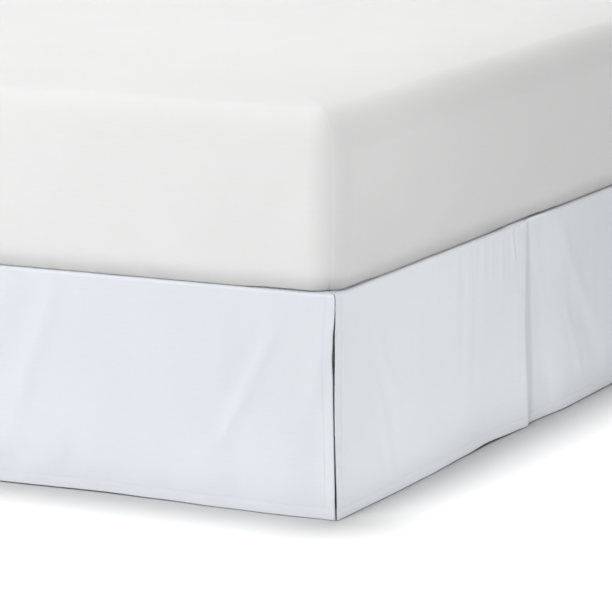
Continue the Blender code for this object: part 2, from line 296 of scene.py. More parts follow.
skirt = {
    "cloth": 0.0008,          # thickness
    "hemCloth": 0.0016,       # thickness where a hem is turned in
    "layerStep": 0.0022,      # from one folded layer to the next
    "frontOut": 0.0106,       # front layer, outside the base's side
    "hemHeight": 0.0010,      # above the floor
    "hemDepth": 0.017,        # stitch line above the hem's edge
    "seamInboard": 0.012,
    "seamGap": 0.0007,
    "seatGap": 0.0003,
    "seamThickness": 0.0010,  # of the deck and the drops in the seam
    "crestFall": 0.0021,      # from the seam to where a drop turns down
    "turnRadius": 0.0045,     # where a drop turns down
    "layerLift": 0.0008,      # from one layer to the next where they lie flat
    "baseClear": 0.0024,      # the least room beside the base
    "flareTop": 0.200,        # below this height the hem may swing out
    "sideHem": 0.020,
    "sideStitch": 0.017,      # stitch line from the end of a drop
    "pleatDepth": 0.060,
    "pleatStitch": 0.0265,    # stitch line beside the foot pleat
    "pleatAside": 0.016,      # the foot pleat hangs a little off the middle
    "stepOut": 0.170,         # the covered panel has come forward this far past the fold
    "stepStart": 0.040,       # and starts to this far past it
    "hollowDeepest": 0.050,   # it dips most this far past the fold
    "hollowEnd": 0.180,
    "hollowAtFold": 0.45,     # share of the dip right beside the fold
    "setback": 0.0008,        # end of a drop, from the corner of the front planes
    "mitre": 0.070,
    "mitreFrom": 0.29,        # height from which the folded hems are mitred too
    "mitreFade": 0.03,
    "liftRamp": 0.035,
    "liftInset": 0.004,
    "fallFrom": 0.004,        # below the base's top, where a drop starts to hang free
    "fallFade": 0.012,
    "turnRows": 7,
    "rowSpacing": 0.0075,
    "turnSteps": 8,
    "turnRoom": 0.003,        # from a turned edge to the first places on the flat
    "hemSpacing": 0.0035,     # between places on a side hem, and behind it
    "behindSpacing": 0.004,
    "coveredSpacing": 0.0045,
    "foldSpacing": 0.008,     # inside the pleat, and how far off its turned edges
    "foldInset": 0.006,
    "foldRoom": 0.002,
    "stitchRows": (0.006, 0.0025, 0.001, 0.0, -0.001, -0.0025, -0.006),  # rows beside the hem's stitches
    "edgeRows": (0.007, 0.004, 0.0015, 0.0),                             # and above its lower edge
    "hemPuckered": 0.008,     # how far the hem's puckers reach
    "seamPuckered": 0.24,     # height from which the seam's show, and how fast they grow
    "puckerFade": 0.08,
    "stitchDent": 0.00025,
    "hemDentWidth": 0.0012,
    "sideDentWidth": 0.0025,
    "colour": (0.684, 0.711, 0.751),
    "roughness": 0.85,
    "sheen": 0.15,
    "unevenness": 0.975,
    "paintedHighlight": 1.20,          # painted highlight: how much lighter its top edge is painted
    "paintedHighlightEdge": (0.018, 0.027),
    "hemLighter": 1.02,       # than the rest of the cloth
    "hemShare": 0.8,
    "hemBlur": 0.0006,
    "thread": 0.0006,
    "threadDepth": 0.00010,
    "slubDepth": 0.00010,
    "fuzzDepth": 0.00005,
}

# Unevenness of the hanging cloth: its height, and its waves' size along and down a drop.
Uneven = namedtuple("Uneven", "height along down seed")
clothUneven = {
    "waves": Uneven(0.0010, 0.16, 0.30, 0),
    "ripples": Uneven(0.00034, 0.030, 0.25, 5),
    "hemPuckers": Uneven(0.00022, 0.011, 0.2, 9),
    "seamPuckers": Uneven(0.00020, 0.016, 0.5, 13),
}

# A soft fold runs from one point of a drop to another. u is along the drop from its
# foot corner, or from the near corner on the foot drop, and z is the height.
Fold = namedtuple("Fold", "u z toU toZ halfWidth height")
nearFolds = [
    Fold(0.102, 0.290, 0.194, 0.115, 0.012, 0.0030),
    Fold(0.136, 0.280, 0.222, 0.120, 0.020, -0.0022),
    Fold(0.494, 0.320, 0.572, 0.115, 0.016, 0.0030),
    Fold(0.525, 0.335, 0.596, 0.170, 0.022, -0.0022),
    Fold(0.006, 0.310, 0.042, 0.170, 0.016, 0.0020),
    Fold(0.030, 0.180, 0.034, 0.020, 0.022, -0.0026),
    Fold(0.175, 0.110, 0.150, 0.020, 0.026, -0.0020),
    Fold(0.215, 0.120, 0.235, 0.030, 0.022, 0.0016),
    Fold(0.545, 0.060, 0.590, 0.030, 0.018, -0.0022),
    Fold(0.455, 0.070, 0.490, 0.015, 0.020, -0.0022),
    Fold(0.360, 0.300, 0.350, 0.040, 0.040, -0.0012),
    Fold(0.800, 0.300, 0.850, 0.060, 0.040, 0.0040),
    Fold(1.180, 0.310, 1.130, 0.120, 0.024, 0.0036),
    Fold(1.330, 0.320, 1.280, 0.080, 0.050, 0.0035),
    Fold(1.720, 0.300, 1.790, 0.100, 0.026, 0.0040),
]
farFolds = [
    Fold(0.180, 0.310, 0.250, 0.110, 0.024, 0.0040),
    Fold(0.620, 0.300, 0.560, 0.060, 0.050, 0.0034),
    Fold(0.860, 0.320, 0.920, 0.150, 0.022, 0.0034),
    Fold(1.240, 0.310, 1.320, 0.090, 0.040, 0.0040),
    Fold(1.660, 0.290, 1.610, 0.080, 0.026, 0.0038),
]
footFolds = [
    Fold(0.134, 0.300, 0.232, 0.145, 0.014, 0.0015),
    Fold(0.110, 0.280, 0.190, 0.150, 0.024, -0.0009),
    Fold(0.158, 0.190, 0.202, 0.015, 0.013, 0.0015),
    Fold(0.196, 0.150, 0.232, 0.040, 0.020, -0.0018),
    Fold(0.330, 0.300, 0.320, 0.080, 0.045, 0.0006),
    Fold(0.440, 0.350, 0.428, 0.200, 0.020, 0.0005),
    Fold(0.560, 0.352, 0.570, 0.200, 0.018, 0.0004),
    Fold(0.640, 0.352, 0.655, 0.220, 0.016, 0.0004),
    Fold(0.806, 0.330, 0.858, 0.170, 0.016, 0.0010),
    Fold(0.908, 0.320, 1.040, 0.155, 0.017, 0.0017),
    Fold(0.880, 0.240, 0.990, 0.140, 0.026, -0.0010),
    Fold(0.938, 0.185, 1.002, 0.030, 0.015, 0.0017),
    Fold(1.010, 0.165, 1.070, 0.070, 0.026, -0.0026),
    Fold(0.840, 0.080, 0.875, 0.035, 0.024, -0.0024),
    Fold(1.300, 0.310, 1.340, 0.060, 0.040, 0.0034),
    Fold(0.690, 0.362, 0.706, 0.300, 0.0050, 0.0010),
    Fold(0.702, 0.362, 0.717, 0.300, 0.0038, -0.0018),
]

# How the hem hangs: its swing outwards and its rise above the usual height.
Hang = namedtuple("Hang", "at out rise")
nearHang = [
    Hang(0.000, 0.0050, -0.0002),
    Hang(0.090, 0.0080, 0.0000),
    Hang(0.200, 0.0050, 0.0000),
    Hang(0.300, -0.0030, 0.0004),
    Hang(0.420, -0.0085, 0.0010),
    Hang(0.600, -0.0050, 0.0008),
    Hang(1.300, 0.0040, 0.0000),
    Hang(2.100, 0.0010, 0.0010),
]
farHang = [
    Hang(0.000, 0.0020, 0.0000),
    Hang(0.700, 0.0040, 0.0010),
    Hang(1.400, 0.0010, 0.0000),
    Hang(2.100, 0.0030, 0.0010),
]
footHang = [
    Hang(0.000, 0.0062, -0.0002),
    Hang(0.120, 0.0070, 0.0000),
    Hang(0.330, 0.0070, 0.0000),
    Hang(0.500, 0.0024, 0.0006),
    Hang(0.600, 0.0002, 0.0024),
    Hang(0.700, 0.0032, 0.0006),
    Hang(0.760, 0.0060, 0.0000),
    Hang(0.880, 0.0085, 0.0004),
    Hang(1.200, 0.0040, 0.0006),
    Hang(1.550, 0.0030, 0.0000),
]
# How much of the pucker of the top seam shows along each drop.
Seam = namedtuple("Seam", "at pucker")
plainSeam = [Seam(0.0, 1.0), Seam(2.1, 1.0)]
footSeam = [
    Seam(0.000, 0.6),
    Seam(0.440, 0.8),
    Seam(0.520, 2.2),
    Seam(0.700, 2.6),
    Seam(0.790, 1.2),
    Seam(1.550, 0.8),
]
# How far each side of the slit at a foot corner stands back, by height.
Slit = namedtuple("Slit", "at side foot")
cornerSlit = [
    Slit(0.000, 0.0036, 0.0018),
    Slit(0.034, 0.0042, 0.0022),
    Slit(0.070, 0.0042, 0.0018),
    Slit(0.130, 0.0042, 0.0018),
    Slit(0.215, 0.0044, 0.0020),
    Slit(0.252, 0.0058, 0.0026),
    Slit(0.285, 0.0042, 0.0018),
    Slit(0.318, 0.0008, 0.0005),
    Slit(0.338, 0.0002, 0.0002),
    Slit(0.360, 0.0002, 0.0000),
]
# The pleat by height: how deep the covered panel is dented beside the fold, how far the
# fold stands proud, and how far it is drawn aside.
Pleat = namedtuple("Pleat", "at dent proud aside")
pleatForm = [
    Pleat(0.000, 0.0035, 0.0000, 0.0000),
    Pleat(0.060, 0.0060, 0.0010, 0.0050),
    Pleat(0.120, 0.0072, 0.0030, 0.0110),
    Pleat(0.180, 0.0066, 0.0036, 0.0120),
    Pleat(0.250, 0.0052, 0.0026, 0.0080),
    Pleat(0.310, 0.0024, 0.0008, 0.0020),
    Pleat(0.350, 0.0000, 0.0000, 0.0000),
]


def foldRelief(folds, u, z):
    relief = np.zeros(np.broadcast(u, z).shape)
    for fold in folds:
        runU = fold.toU - fold.u
        runZ = fold.toZ - fold.z
        length = math.hypot(runU, runZ)
        along = ((u - fold.u) * runU + (z - fold.z) * runZ) / length
        across = ((u - fold.u) * runZ - (z - fold.z) * runU) / length
        ease = 0.35 * length
        ends = smooth(along / ease + 0.5) * smooth((length - along) / ease + 0.5)
        relief += fold.height * ends * np.exp(-(across / fold.halfWidth) ** 2)
    return relief


def turnedEdge(u, layer, bulge):
    radius = skirt["layerStep"] / 2
    steps = skirt["turnSteps"]
    angles = [math.pi * index / steps for index in range(steps + 1)]
    return [(u + bulge * radius * math.sin(a), layer + 0.5 - 0.5 * math.cos(a)) for a in angles]


class Drop:
    # one drop of the skirt: its size, place and folds, and how its hem hangs
    def __init__(self, name, length, middle, start, along, outward, look):
        self.name = name
        self.length = length
        self.middle = middle
        self.start = np.array(start)
        self.along = np.array(along)
        self.outward = np.array(outward)
        self.look = look

    def coveredLayer(self, u):
        start, end = skirt["stepStart"], skirt["stepOut"]
        return 2.0 * (1.0 - smooth((u - self.middle - start) / (end - start)))

    def stations(self):
        # the section seen from above as (u, layer): side hem, front panel, the fold back
        # behind it, and the covered panel that comes forward again
        radius = skirt["layerStep"] / 2
        sideHem = skirt["sideHem"]
        edge = self.middle - radius
        inner = self.middle - skirt["pleatDepth"]
        spacing = self.look["spacing"]
        room, behind = skirt["turnRoom"], skirt["behindSpacing"]
        nearEdge, inset = edge - skirt["foldRoom"], skirt["foldInset"]
        first = [(u, 1.0) for u in evenly(sideHem, room, behind)]
        first += list(reversed(turnedEdge(radius, 0, -1)))
        panel = evenly(room, sideHem, skirt["hemSpacing"]) + graded(sideHem, inner, spacing)
        panel += evenly(inner, edge - behind, behind) + [nearEdge]
        fold = turnedEdge(edge, 0, 1) + [(nearEdge, 1.0)]
        fold += [(u, 1.0) for u in evenly(edge - inset, inner + inset, skirt["foldSpacing"])]
        fold += turnedEdge(inner, 1, -1) + [((inner + edge) / 2, 2.0)]
        forward = self.middle + skirt["stepOut"]
        fold += [(u, float(self.coveredLayer(u))) for u in evenly(edge, forward, skirt["coveredSpacing"])]
        rest = graded(forward, self.length - sideHem, spacing)
        rest += evenly(self.length - sideHem, self.length - room, skirt["hemSpacing"])
        last = turnedEdge(self.length - radius, 0, 1)
        last += [(u, 1.0) for u in evenly(self.length - room, self.length - sideHem, behind)]
        front = [(u, 0.0) for u in panel]
        return np.array(first + front + fold + [(u, 0.0) for u in rest] + last)

    def heights(self):
        # rows from the seam to the hem: outward, height, angle of the outward normal
        seamOut = skirt["seamGap"] - skirt["seamInboard"]
        seamHeight = baseTop + skirt["seatGap"] + skirt["seamThickness"] / 2
        radius = skirt["turnRadius"]
        crest = seamHeight - skirt["crestFall"]
        turn = skirt["frontOut"] - radius
        rows = []
        for share in (0.0, 0.25, 0.5, 0.75):
            height = seamHeight - skirt["crestFall"] * smooth(share)
            rows.append((seamOut + (turn - seamOut) * share, height, 0.0))
        for index in range(skirt["turnRows"] + 1):
            angle = math.pi / 2 * index / skirt["turnRows"]
            rows.append((turn + radius * math.sin(angle), crest - radius * (1.0 - math.cos(angle)), angle))
        hemTop = self.hemTop()
        fall = evenly(rows[-1][1], hemTop + skirt["stitchRows"][0], skirt["rowSpacing"])[1:]
        fall += [hemTop + step for step in skirt["stitchRows"]]
        fall += [skirt["hemHeight"] + step for step in skirt["edgeRows"]]
        rows += [(skirt["frontOut"], z, math.pi / 2) for z in fall]
        return np.array(rows)

    def hemTop(self):
        return skirt["hemHeight"] + skirt["hemDepth"]

    def layersBehind(self, u):
        sideHem, inset = skirt["sideHem"], skirt["liftInset"]
        ramp = skirt["liftRamp"]
        start = 1.0 - smooth((u - sideHem - inset) / ramp)
        end = 1.0 - smooth((self.length - sideHem - inset - u) / ramp)
        before = smooth((u - self.middle + skirt["pleatDepth"] + skirt["foldInset"] + ramp) / ramp)
        pleat = np.minimum(2.0 * before, self.coveredLayer(u))
        return start + end + pleat

    def unevenness(self, u, z):
        # the folds, and waves, puckers and dents that are small beside them
        places = np.stack(np.broadcast_arrays(u, z, 0.0 * u), axis=-1)
        parts = {}
        for name, row in clothUneven.items():
            clouds = cloudy(places.reshape(-1, 3), (row.along, row.down, 1), self.look["seed"] + row.seed)
            parts[name] = (clouds * row.height).reshape(places.shape[:2])
        aboveHem = z - self.hemTop()
        nearHem = np.exp(-(aboveHem / skirt["hemPuckered"]) ** 2)
        nearSeam = smooth((z - skirt["seamPuckered"]) / skirt["puckerFade"])
        nearSeam = nearSeam * fromTable(self.look["seam"], "pucker", u)
        dents = np.exp(-(aboveHem / skirt["hemDentWidth"]) ** 2)
        for distance in self.look["stitched"]:
            dents = dents + np.exp(-((u - distance) / skirt["sideDentWidth"]) ** 2)
        relief = foldRelief(self.look["folds"], u, z) + (parts["waves"] + parts["ripples"])
        relief += parts["hemPuckers"] * nearHem + parts["seamPuckers"] * nearSeam
        return relief - skirt["stitchDent"] * dents

    def surface(self, stations, rows):
        # the middle surface as an array of points, one line of them for each station
        u = stations[:, :1]
        layer = stations[:, 1:]
        out, z, angle = rows.T
        swing = smooth((skirt["flareTop"] - z) / skirt["flareTop"])
        falling = smooth((baseTop - skirt["fallFrom"] - z) / skirt["fallFade"])
        covered = np.where(u > self.middle - 0.0005, 1.0, np.clip(layer - 1.0, 0.0, 1.0))
        past = np.maximum(u - self.middle, 0.0)
        deepest, end = skirt["hollowDeepest"], skirt["hollowEnd"]
        first = skirt["hollowAtFold"]
        beside = first + (1.0 - first) * np.sin(np.pi / 2 * np.minimum(past / deepest, 1.0))
        beside = beside * (1.0 - smooth((past - deepest) / (end - deepest)))
        hollow = fromTable(pleatForm, "dent", z) * beside * covered
        folded = np.exp(-((u - self.middle) / skirt["pleatDepth"]) ** 2) * (1.0 - covered)
        hollow = hollow - fromTable(pleatForm, "proud", z) * folded
        lift = skirt["layerLift"] * (self.layersBehind(u) - layer) * np.cos(angle)
        outward = out - skirt["layerStep"] * layer * np.sin(angle)
        outward = outward + (self.unevenness(u, z) - hollow) * falling
        outward = outward + fromTable(self.look["hang"], "out", u) * swing
        # it stays clear of the base
        soft = skirt["baseClear"] / 4
        kept = skirt["baseClear"] + soft * np.logaddexp(0.0, (outward - skirt["baseClear"]) / soft)
        outward = outward + (kept - outward) * falling * smooth((z - baseLow.z) / 0.02 + 1.0)
        height = z + lift + fromTable(self.look["hang"], "rise", u) * swing
        along = u - fromTable(pleatForm, "aside", z) * folded
        # near the top the folded hems of two drops are mitred where they meet
        setback = skirt["setback"] + fromTable(cornerSlit, self.look["slit"], z)
        mitred = smooth((z - skirt["mitreFrom"]) / skirt["mitreFade"])
        setback = setback + skirt["layerStep"] * np.clip(layer, 0.0, 1.0) * mitred
        ends = zip((1.0, -1.0), (u, self.length - u), self.look["reaches"])
        for towards, distance, reach in ends:
            if reach is not None:
                share = 1.0 - smooth(distance / skirt["mitre"])
                along = along + towards * share * (skirt["frontOut"] - out + setback - reach * swing)
        points = self.start + along[..., None] * self.along + outward[..., None] * self.outward
        points[..., 2] = height
        return points


def gridMesh(name, points, across, down):
    # a sheet from an array of points, with the lengths along the cloth as its UV map
    columns, rows = points.shape[:2]
    order = np.arange(columns * rows).reshape(columns, rows)
    faces = np.stack((order[:-1, :-1], order[:-1, 1:], order[1:, 1:], order[1:, :-1]), axis=-1)
    mesh = bpy.data.meshes.new(name)
    mesh.from_pydata(points.reshape(-1, 3).tolist(), [], faces.reshape(-1, 4).tolist())
    uv = np.stack(np.meshgrid(across, down, indexing="ij"), axis=-1).reshape(-1, 2)
    layer = mesh.uv_layers.new(name="cloth")
    corners = np.zeros(len(mesh.loops), dtype=np.int32)
    mesh.loops.foreach_get("vertex_index", corners)
    layer.data.foreach_set("uv", uv[corners].ravel().astype(np.float32))
    return mesh


def lengthsAlong(places):
    return np.concatenate(([0.0], np.cumsum(np.hypot(*np.diff(places, axis=0).T))))


def thicken(piece, thin, thick, weights):
    # thin cloth, thicker where the weights say that a hem is turned in
    group = piece.vertex_groups.new(name="hem")
    for index, weight in enumerate(weights):
        if weight > 0:
            group.add([index], float(weight), "REPLACE")
    solidify = piece.modifiers.new("cloth", "SOLIDIFY")
    solidify.thickness = thick
    solidify.offset = 0.0
    solidify.use_even_offset = True
    solidify.vertex_group = "hem"
    solidify.thickness_vertex_group = thin / thick
    bakeModifiers(piece)


stitch = {
    "pitch": 0.0031,
    "length": 0.0024,
    "radius": 0.00022,
    "uneven": 0.12,
    "seed": 4,
    "lineStep": 0.003,        # between places on a stitch line
    "sunk": 0.00005,          # into the cloth
    "colour": (0.66, 0.69, 0.73),
    "roughness": 0.6,
}


class Growth:
    # a Geometry Nodes tree with named inputs, and one way of adding nodes to it
    def __init__(self, name, inputs):
        self.tree = bpy.data.node_groups.new(name, "GeometryNodeTree")
        self.tree.interface.new_socket("Geometry", in_out="INPUT", socket_type="NodeSocketGeometry")
        for label, value in inputs.items():
            kind = "NodeSocketInt" if isinstance(value, int) else "NodeSocketFloat"
            self.tree.interface.new_socket(label, in_out="INPUT", socket_type=kind)
        self.tree.interface.new_socket("Geometry", in_out="OUTPUT", socket_type="NodeSocketGeometry")
        self.inputs = inputs
        self.given = self.tree.nodes.new("NodeGroupInput").outputs

    def add(self, kind, settings=None, values=None):
        made = self.tree.nodes.new(kind)
        for key, value in (settings or {}).items():
            setattr(made, key, value)
        for key, value in (values or {}).items():
            if isinstance(value, bpy.types.NodeSocket):
                self.tree.links.new(value, made.inputs[key])
            else:
                made.inputs[key].default_value = value
        return made.outputs

    def sum(self, operation, first, second):
        return self.add("ShaderNodeMath", {"operation": operation}, {0: first, 1: second})[0]

    def finish(self, geometry, material):
        real = self.add("GeometryNodeRealizeInstances", None, {0: geometry})
        values = {"Geometry": real[0], "Material": material}
        painted = self.add("GeometryNodeSetMaterial", None, values)
        self.tree.links.new(painted[0], self.tree.nodes.new("NodeGroupOutput").inputs["Geometry"])

    def run(self, piece):
        # runs the tree on the piece's mesh and keeps what it makes as a plain mesh
        grown = piece.modifiers.new(self.tree.name, "NODES")
        grown.node_group = self.tree
        for socket in self.tree.interface.items_tree:
            if socket.in_out == "INPUT" and socket.name in self.inputs:
                grown[socket.identifier] = self.inputs[socket.name]
        bakeModifiers(piece)


def lineMesh(name, lines, closed=False):
    # a mesh of edges alone, along lines of points
    points, edges = [], []
    for line in lines:
        first = len(points)
        points += [tuple(point) for point in line]
        edges += [(index, index + 1) for index in range(first, len(points) - 1)]
        if closed:
            edges.append((len(points) - 1, first))
    mesh = bpy.data.meshes.new(name)
    mesh.from_pydata(points, edges, [])
    return mesh


def stitchTree(material):
    # rounded stitches, one every pitch along the edges of the mesh
    names = ("pitch", "length", "radius", "uneven", "seed")
    growth = Growth("stitches", {name.capitalize(): stitch[name] for name in names})
    given = growth.given
    curve = growth.add("GeometryNodeMeshToCurve", None, {0: given["Geometry"]})[0]
    values = {"Curve": curve, "Length": given["Pitch"]}
    places = growth.add("GeometryNodeCurveToPoints", {"mode": "LENGTH"}, values)
    bead = growth.add("GeometryNodeMeshIcoSphere", None, {"Radius": 1.0, "Subdivisions": 1})[0]
    least = growth.sum("SUBTRACT", 1.0, given["Uneven"])
    most = growth.sum("ADD", 1.0, given["Uneven"])
    values = {2: least, 3: most, "Seed": given["Seed"]}
    chance = growth.add("FunctionNodeRandomValue", {"data_type": "FLOAT"}, values)[1]
    half = growth.sum("MULTIPLY", growth.sum("MULTIPLY", given["Length"], 0.5), chance)
    size = growth.add("ShaderNodeCombineXYZ", None, {0: given["Radius"], 1: given["Radius"], 2: half})[0]
    values = {"Points": places["Points"], "Instance": bead, "Rotation": places["Rotation"], "Scale": size}
    growth.finish(growth.add("GeometryNodeInstanceOnPoints", None, values)[0], material)
    return growth


def makeStitches(name, lines, material, growth):
    piece = makePiece(name, lineMesh(name, lines), material)
    growth.run(piece)
    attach(piece, "root")
    return piece


def stitchLines(drop):
    # along the hem on both panels, and up the side hems and the pleat's edge
    rows = drop.heights()
    hemRow = np.array([(skirt["frontOut"], drop.hemTop(), math.pi / 2)])
    step = stitch["lineStep"]
    panel = np.arange(step, drop.middle - step, step)
    covered = np.arange(drop.middle + 0.001, drop.length - step, step)
    runs = [np.column_stack((panel, 0 * panel)), np.column_stack((covered, drop.coveredLayer(covered)))]
    lines = [drop.surface(run, hemRow)[:, 0] for run in runs]
    falling = rows[(rows[:, 2] > 1.5) & (rows[:, 1] > drop.hemTop() + 0.001)]
    for u in drop.look["stitched"]:
        lines.append(drop.surface(np.array([(u, 0.0)]), falling)[0])
    outside = skirt["hemCloth"] / 2 - stitch["sunk"]
    return [line + drop.outward * outside for line in lines]


def makeDrop(drop, material, thread, tree):
    stations = drop.stations()
    rows = drop.heights()
    across = lengthsAlong(stations * (1.0, skirt["layerStep"]))
    down = lengthsAlong(rows[:, :2])
    mesh = gridMesh(drop.name, drop.surface(stations, rows), across, down)
    piece = makePiece(drop.name + "_cloth", mesh, material)
    hem = smooth((drop.hemTop() - rows[:, 1]) / 0.002 + 0.5)
    hem = np.broadcast_to(hem, (len(stations), len(rows))).ravel()
    thicken(piece, skirt["cloth"], skirt["hemCloth"], hem)
    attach(piece, "root")
    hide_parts(drop.name)
    stitches = makeStitches(drop.name + "_stitches", stitchLines(drop), thread, tree)


def makeDrops():
    footX = baseHigh.x + skirt["frontOut"]
    sideY = baseHigh.y + skirt["frontOut"]
    side = skirt["sideStitch"]
    sideLength = bedLength + skirt["frontOut"]
    sideStitches = [side, sideLength - side]
    # reaches is how far a drop's ends go past a corner at the hem; a drop has no corner at None
    near = Drop("drop_side_near", sideLength, footX, (footX, baseLow.y, 0), (-1, 0, 0), (0, -1, 0), {
        "folds": nearFolds, "hang": nearHang, "seam": plainSeam, "slit": "side", "seed": 1,
        "reaches": (0.0062, None), "spacing": [(0.70, 0.006), (2.1, 0.012)], "stitched": sideStitches})
    far = Drop("drop_side_far", sideLength, footX, (footX, baseHigh.y, 0), (-1, 0, 0), (0, 1, 0), {
        "folds": farFolds, "hang": farHang, "seam": plainSeam, "slit": "side", "seed": 2,
        "reaches": (0.003, None), "spacing": [(2.1, 0.012)], "stitched": sideStitches})
    pleat = sideY - skirt["pleatAside"]
    foot = Drop("drop_foot", 2 * sideY, pleat, (baseHigh.x, -sideY, 0), (0, 1, 0), (1, 0, 0), {
        "folds": footFolds, "hang": footHang, "seam": footSeam, "slit": "foot", "seed": 3,
        "reaches": (0.005, 0.002), "spacing": [(0.46, 0.006), (0.72, 0.003), (1.20, 0.006), (2, 0.012)],
        "stitched": [side, pleat - skirt["pleatStitch"], 2 * sideY - side]})
    shader = clothShader("skirt_cloth_woven", skirt)
    hemLine = float(lengthsAlong(near.heights()[:, :2])[-1]) - skirt["hemDepth"]
    down = shader.axes(shader.place())[1]
    hemBand = down.ease(hemLine - skirt["hemBlur"], hemLine + skirt["hemBlur"])
    lighter = tuple(channel * skirt["hemLighter"] for channel in skirt["colour"])
    shader.tint(hemBand * skirt["hemShare"], lighter)
    # painted highlight: the top of each drop, where it turns down under the mattress's edge, is painted
    # lighter, standing in for the light that this edge catches
    paintedHighlight = tuple(channel * skirt["paintedHighlight"] for channel in skirt["colour"])
    shader.tint(1.0 - down.ease(*skirt["paintedHighlightEdge"]), paintedHighlight)
    thread = Shader("skirt_thread", stitch["colour"], stitch["roughness"])
    twist = thread.noise(thread.place((900, 900, 900), onCloth=False), 1.0)
    thread.tint(twist.ease(0.3, 0.7), tuple(channel * 0.93 for channel in stitch["colour"]))
    tree = stitchTree(thread.material)
    for drop in (near, far, foot):
        makeDrop(drop, shader.material, thread.material, tree)


makeDrops()

deck = {
    "cloth": 0.0008,
    "spacing": 0.03,
    "colour": (0.78, 0.80, 0.83),
    "roughness": 0.9,
    "sheen": 0.1,
    "unevenness": 0.97,
    "thread": 0.0007,
    "threadDepth": 0.00010,
    "slubDepth": 0.00010,
    "fuzzDepth": 0.00004,
}


def makeDeck():
    low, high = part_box("deck")
    x = np.array(evenly(low.x, high.x, deck["spacing"]) + [high.x])
    y = np.array(evenly(low.y, high.y, deck["spacing"]) + [high.y])
    points = np.zeros((len(x), len(y), 3))
    points[..., 0] = x[:, None]
    points[..., 1] = y
    points[..., 2] = (low.z + high.z) / 2
    mesh = gridMesh("deck", points, x - low.x, y - low.y)
    mesh.flip_normals()
    piece = makePiece("deck_cloth", mesh, clothShader("deck_cloth_woven", deck).material)
    thicken(piece, deck["cloth"], deck["cloth"], [])
    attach(piece, "root")
    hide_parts("deck")
    print("deck: %d faces" % len(mesh.polygons))


makeDeck()


def softBox(low, high, sizes, lines):
    # A box with rounded edges, closed, as one lattice wrapped round it. lines holds the
    # places of the grid lines between the edges. The side faces go on over the upper edge
    # up to the angle in sizes["split"], so that the corner seams end near the top.
    radius = sizes["edge"]
    split = math.radians(sizes["split"])
    steps = np.array(sizes["steps"])
    places, turns = [], []
    for axis in range(3):
        first = low[axis] + (sizes["bottom"] if axis == 2 else radius)
        last = high[axis] - (sizes["top"] if axis == 2 else radius)
        inner = [place for place in lines[axis] if first + 0.001 < place < last - 0.001]
        flat = [first] + inner + [last]
        places.append(np.concatenate((np.full(len(steps), first), flat, np.full(len(steps), last))))
        turns.append(np.concatenate((-steps[::-1], np.zeros(len(flat)), steps)))
    count = [len(place) for place in places]
    keys = []
    for axis in range(3):
        one, two = [(1, 2), (2, 0), (0, 1)][axis]
        a, b = np.meshgrid(np.arange(count[one] - 1), np.arange(count[two] - 1), indexing="ij")
        for side in (0, count[axis] - 1):
            corners = []
            for stepA, stepB in ((0, 0), (1, 0), (1, 1), (0, 1)):
                index = np.zeros(a.shape + (3,), dtype=int)
                index[..., axis] = side
                index[..., one] = a + stepA
                index[..., two] = b + stepB
                corners.append(index)
            quads = np.stack(corners if side else corners[::-1], axis=2).reshape(-1, 4, 3)
            keys.append(quads)
    keys = np.concatenate(keys)
    flatKeys = (keys[..., 0] * count[1] + keys[..., 1]) * count[2] + keys[..., 2]
    unique, faces = np.unique(flatKeys, return_inverse=True)
    faces = faces.reshape(-1, 4)
    k = unique % count[2]
    j = unique // count[2] % count[1]
    i = unique // (count[1] * count[2])
    core = np.column_stack((places[0][i], places[1][j], places[2][k]))
    turn = np.column_stack((turns[0][i], turns[1][j], turns[2][k]))
    tangent = np.tan(np.pi / 4 * turn)
    onSide = [np.where(index == 0, -1.0, np.where(index == size - 1, 1.0, 0.0))
              for index, size in zip((i, j, k), count)]
    side = (onSide[0] != 0) | (onSide[1] != 0)
    rise = np.where(turn[:, 2] > 0, np.tan(split * turn[:, 2]), tangent[:, 2])
    lean = np.where(onSide[2] > 0, 1.0 / math.tan(split), 1.0)
    way = np.column_stack((
        np.where(side, np.where(onSide[0] != 0, onSide[0], tangent[:, 0]), lean * tangent[:, 0]),
        np.where(side, np.where(onSide[1] != 0, onSide[1], tangent[:, 1]), lean * tangent[:, 1]),
        np.where(side, rise, onSide[2])))
    way /= np.linalg.norm(way, axis=1)[:, None]
    tall = np.where(way[:, 2] > 0, sizes["top"], sizes["bottom"])
    # the lower edge may be squarer than round
    level = np.linalg.norm(way[:, :2], axis=1)
    power = np.where(way[:, 2] < 0, 2.0 / sizes.get("square", 2.0), 1.0)
    wider = np.where(level > 0, np.maximum(level, 1e-9) ** (power - 1.0), 0.0) * radius
    upright = np.sign(way[:, 2]) * abs(way[:, 2]) ** power * tall
    points = core + np.column_stack((way[:, 0] * wider, way[:, 1] * wider, upright))
    # distance along the surface to the nearest vertical corner line
    gaps = []
    for axis in (0, 1):
        flat = np.minimum(core[:, axis] - low[axis], high[axis] - core[:, axis]) - radius
        gaps.append((1 - abs(turn[:, axis])) * radius * math.pi / 4 + flat)
    gap = np.where(side, np.maximum(gaps[0], gaps[1]), 1.0)
    return points, way, gap, faces


def boxMesh(name, points, faces):
    # UVs in metres along the two axes that each face lies in
    mesh = bpy.data.meshes.new(name)
    mesh.from_pydata(points.tolist(), [], faces.tolist())
    corners = points[faces]
    normals = np.cross(corners[:, 2] - corners[:, 0], corners[:, 3] - corners[:, 1])
    facing = np.argmax(abs(normals), axis=1)
    layer = mesh.uv_layers.new(name="cloth")
    first = np.choose(facing, (1, 0, 0))
    second = np.choose(facing, (2, 2, 1))
    rows = np.arange(len(faces))[:, None]
    uv = np.stack([corners[rows, range(4), axis[:, None]] for axis in (first, second)], axis=-1)
    layer.data.foreach_set("uv", uv.ravel().astype(np.float32))
    return mesh


